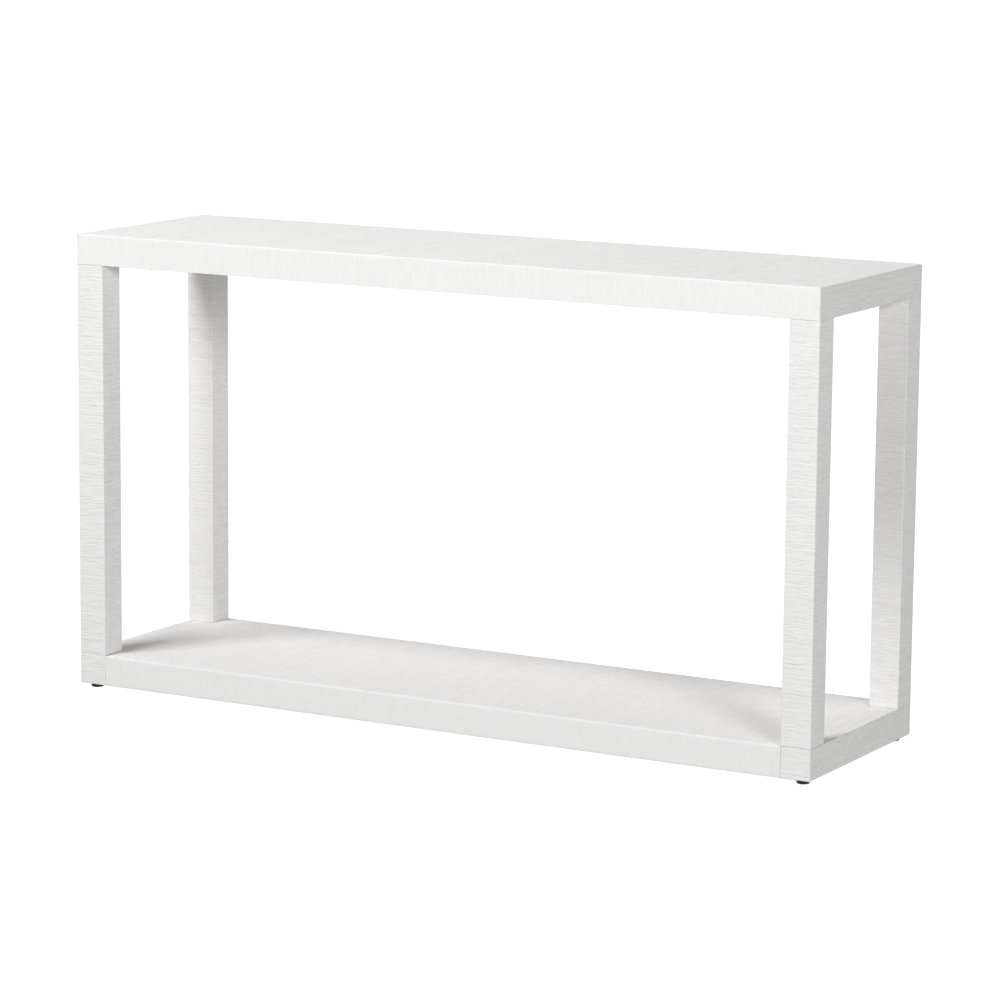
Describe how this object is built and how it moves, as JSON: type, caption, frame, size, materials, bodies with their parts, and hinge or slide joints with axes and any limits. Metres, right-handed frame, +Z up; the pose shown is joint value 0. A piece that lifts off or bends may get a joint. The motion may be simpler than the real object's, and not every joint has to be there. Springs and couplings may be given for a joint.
{
  "type": "console table",
  "caption": "Long narrow open-frame console table with a thick box top, square corner legs, a low box shelf and screw-in glides.",
  "frame": {"origin": "on the floor under the middle of the table, at the level of the glides' undersides when they are screwed right in", "axes": "+X along the length, to the right seen from the front; +Y from the front to the back; +Z up"},
  "size_m": [1.524, 0.427, 0.864],
  "materials": {
    "grasscloth": "white lacquer over woven grasscloth, satin",
    "fibreboard": "bare medium-density fibreboard",
    "painted_board": "thin board painted off-white, matte",
    "poplar": "bare planed poplar",
    "beech": "bare turned beech",
    "zinc_steel": "zinc-plated steel",
    "black_nylon": "moulded black nylon"
  },
  "bodies": {
    "table": {"top_covering": "grasscloth", "top_panel": "fibreboard", "top_front_rail": "poplar", "top_right_rail": "poplar", "top_back_rail": "poplar", "top_left_rail": "poplar", "top_left_rib": "poplar", "top_right_rib": "poplar", "top_underside_board": "painted_board", "shelf_covering": "grasscloth", "shelf_end_band_right": "grasscloth", "shelf_end_band_left": "grasscloth", "shelf_panel": "fibreboard", "shelf_front_rail": "poplar", "shelf_right_rail": "poplar", "shelf_back_rail": "poplar", "shelf_left_rail": "poplar", "shelf_left_rib": "poplar", "shelf_right_rib": "poplar", "shelf_underside_board": "painted_board", "top_corner_block_front_right": "poplar", "top_leg_bolt_front_right": "zinc_steel", "leg_core_front_right": "poplar", "leg_covering_front_right": "grasscloth", "shelf_corner_block_front_right": "poplar", "shelf_leg_bolt_front_right": "zinc_steel", "shelf_dowel_front_right": "beech", "glide_insert_front_right": "zinc_steel", "top_corner_block_back_right": "poplar", "top_leg_bolt_back_right": "zinc_steel", "leg_core_back_right": "poplar", "leg_covering_back_right": "grasscloth", "shelf_corner_block_back_right": "poplar", "shelf_leg_bolt_back_right": "zinc_steel", "shelf_dowel_back_right": "beech", "glide_insert_back_right": "zinc_steel", "top_corner_block_back_left": "poplar", "top_leg_bolt_back_left": "zinc_steel", "leg_core_back_left": "poplar", "leg_covering_back_left": "grasscloth", "shelf_corner_block_back_left": "poplar", "shelf_leg_bolt_back_left": "zinc_steel", "shelf_dowel_back_left": "beech", "glide_insert_back_left": "zinc_steel", "top_corner_block_front_left": "poplar", "top_leg_bolt_front_left": "zinc_steel", "leg_core_front_left": "poplar", "leg_covering_front_left": "grasscloth", "shelf_corner_block_front_left": "poplar", "shelf_leg_bolt_front_left": "zinc_steel", "shelf_dowel_front_left": "beech", "glide_insert_front_left": "zinc_steel"},
    "foot_front_right": {"glide_foot_front_right": "black_nylon"},
    "stem_front_right": {"glide_stem_front_right": "zinc_steel"},
    "foot_back_right": {"glide_foot_back_right": "black_nylon"},
    "stem_back_right": {"glide_stem_back_right": "zinc_steel"},
    "foot_back_left": {"glide_foot_back_left": "black_nylon"},
    "stem_back_left": {"glide_stem_back_left": "zinc_steel"},
    "foot_front_left": {"glide_foot_front_left": "black_nylon"},
    "stem_front_left": {"glide_stem_front_left": "zinc_steel"}
  },
  "joints": [
    {"name": "glide_height_front_right", "type": "slide", "parent": "table", "child": "foot_front_right", "axis": [0, 0, -1], "range_m": [0, 0.01]},
    {"name": "glide_screw_front_right", "type": "hinge", "parent": "foot_front_right", "child": "stem_front_right", "pos_m": [0.739, -0.1905, 0.01], "axis": [0, 0, -1], "range_deg": [0, 2880]},
    {"name": "glide_height_back_right", "type": "slide", "parent": "table", "child": "foot_back_right", "axis": [0, 0, -1], "range_m": [0, 0.01]},
    {"name": "glide_screw_back_right", "type": "hinge", "parent": "foot_back_right", "child": "stem_back_right", "pos_m": [0.739, 0.1905, 0.01], "axis": [0, 0, -1], "range_deg": [0, 2880]},
    {"name": "glide_height_back_left", "type": "slide", "parent": "table", "child": "foot_back_left", "axis": [0, 0, -1], "range_m": [0, 0.01]},
    {"name": "glide_screw_back_left", "type": "hinge", "parent": "foot_back_left", "child": "stem_back_left", "pos_m": [-0.739, 0.1905, 0.01], "axis": [0, 0, -1], "range_deg": [0, 2880]},
    {"name": "glide_height_front_left", "type": "slide", "parent": "table", "child": "foot_front_left", "axis": [0, 0, -1], "range_m": [0, 0.01]},
    {"name": "glide_screw_front_left", "type": "hinge", "parent": "foot_front_left", "child": "stem_front_left", "pos_m": [-0.739, -0.1905, 0.01], "axis": [0, 0, -1], "range_deg": [0, 2880]}
  ],
  "couplings": [
    {"joint": "glide_screw_front_right", "follows": "glide_height_front_right", "rad_per_m": 5026.5},
    {"joint": "glide_screw_back_right", "follows": "glide_height_back_right", "rad_per_m": 5026.5},
    {"joint": "glide_screw_back_left", "follows": "glide_height_back_left", "rad_per_m": 5026.5},
    {"joint": "glide_screw_front_left", "follows": "glide_height_front_left", "rad_per_m": 5026.5}
  ]
}
